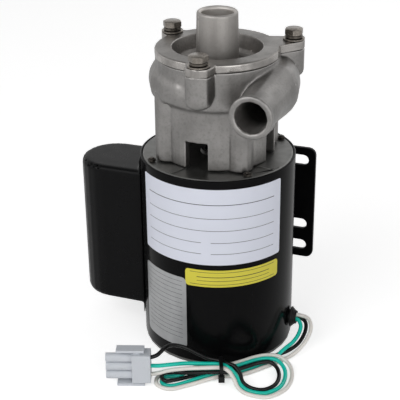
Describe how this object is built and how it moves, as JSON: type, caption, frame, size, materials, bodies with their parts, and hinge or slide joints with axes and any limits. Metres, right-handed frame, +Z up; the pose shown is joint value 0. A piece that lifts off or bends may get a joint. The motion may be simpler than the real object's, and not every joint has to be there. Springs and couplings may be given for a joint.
{
  "type": "recirculating pump",
  "caption": "Close-coupled recirculating pump: stainless volute pump with top suction and side discharge on a black vertical motor with capacitor box, plate and leads.",
  "frame": {"origin": "on the shaft's axis in the plane that the motor stands on", "axes": "+Z up along the shaft towards the suction tube, -Y the way the discharge points, +Y towards the mounting plate, -X towards the capacitor cover"},
  "size_m": [0.1657, 0.1467, 0.2275],
  "materials": {
    "black_insulation": "black PVC",
    "black_nylon": "black nylon",
    "black_paint": "semi-gloss black paint",
    "black_steel": "dark oxide steel",
    "bright_steel": "bright stainless steel",
    "capacitor_can": "drawn aluminium",
    "cast_aluminium": "as cast, light grey",
    "cast_stainless": "satin investment casting with polished edges",
    "green_insulation": "green PVC",
    "lamination": "stacked silicon steel laminations",
    "seal_ceramic": "lapped ceramic ring",
    "seal_rubber": "black nitrile rubber",
    "terminal_brass": "tinned brass",
    "tie_nylon": "black nylon tie",
    "white_insulation": "white PVC",
    "white_nylon": "natural nylon",
    "winding_copper": "enamelled copper wire"
  },
  "bodies": {
    "casing": {"adapter_screw_1": "bright_steel", "adapter_screw_2": "bright_steel", "adapter_screw_3": "bright_steel", "adapter_screw_4": "bright_steel", "capacitor_cover": "black_paint", "capacitor_cover_screw_lower": "black_steel", "capacitor_cover_screw_upper": "black_steel", "connector_housing": "white_nylon", "connector_terminal_1": "terminal_brass", "connector_terminal_2": "terminal_brass", "connector_terminal_3": "terminal_brass", "cover_bolt_front": "bright_steel", "cover_bolt_left": "bright_steel", "cover_bolt_right": "bright_steel", "cover_flat_washer_front": "bright_steel", "cover_flat_washer_left": "bright_steel", "cover_flat_washer_right": "bright_steel", "cover_lock_washer_front": "bright_steel", "cover_lock_washer_left": "bright_steel", "cover_lock_washer_right": "bright_steel", "cover_oring": "seal_rubber", "front_bearing_outer_race": "bright_steel", "front_endshield": "cast_aluminium", "lead_black": "black_insulation", "lead_bushing": "black_nylon", "lead_green": "green_insulation", "lead_tie": "tie_nylon", "lead_white": "white_insulation", "motor_shell": "black_paint", "mounting_plate": "black_paint", "rear_bearing_outer_race": "bright_steel", "rear_endshield": "black_paint", "run_capacitor": "capacitor_can", "seal_seat": "seal_ceramic", "stator_core": "lamination", "stator_windings": "winding_copper", "suction_cover": "cast_stainless", "through_bolt_1": "black_steel", "through_bolt_2": "black_steel", "through_bolt_3": "black_steel", "through_bolt_4": "black_steel", "through_bolt_nut_1": "black_steel", "through_bolt_nut_2": "black_steel", "through_bolt_nut_3": "black_steel", "through_bolt_nut_4": "black_steel", "volute_casing": "cast_stainless", "wave_washer": "bright_steel"},
    "rotor": {"front_bearing_balls_and_cage": "bright_steel", "front_bearing_inner_race": "bright_steel", "impeller": "bright_steel", "impeller_screw": "bright_steel", "impeller_washer": "bright_steel", "motor_shaft": "bright_steel", "rear_bearing_balls_and_cage": "bright_steel", "rear_bearing_inner_race": "bright_steel", "rotor_core": "lamination", "seal_head": "seal_rubber", "seal_spring": "bright_steel", "slinger": "seal_rubber"}
  },
  "joints": [
    {"name": "rotor_spin", "type": "hinge", "parent": "casing", "child": "rotor", "pos_m": [0, 0, 0], "axis": [0, 0, 1], "continuous": true}
  ]
}
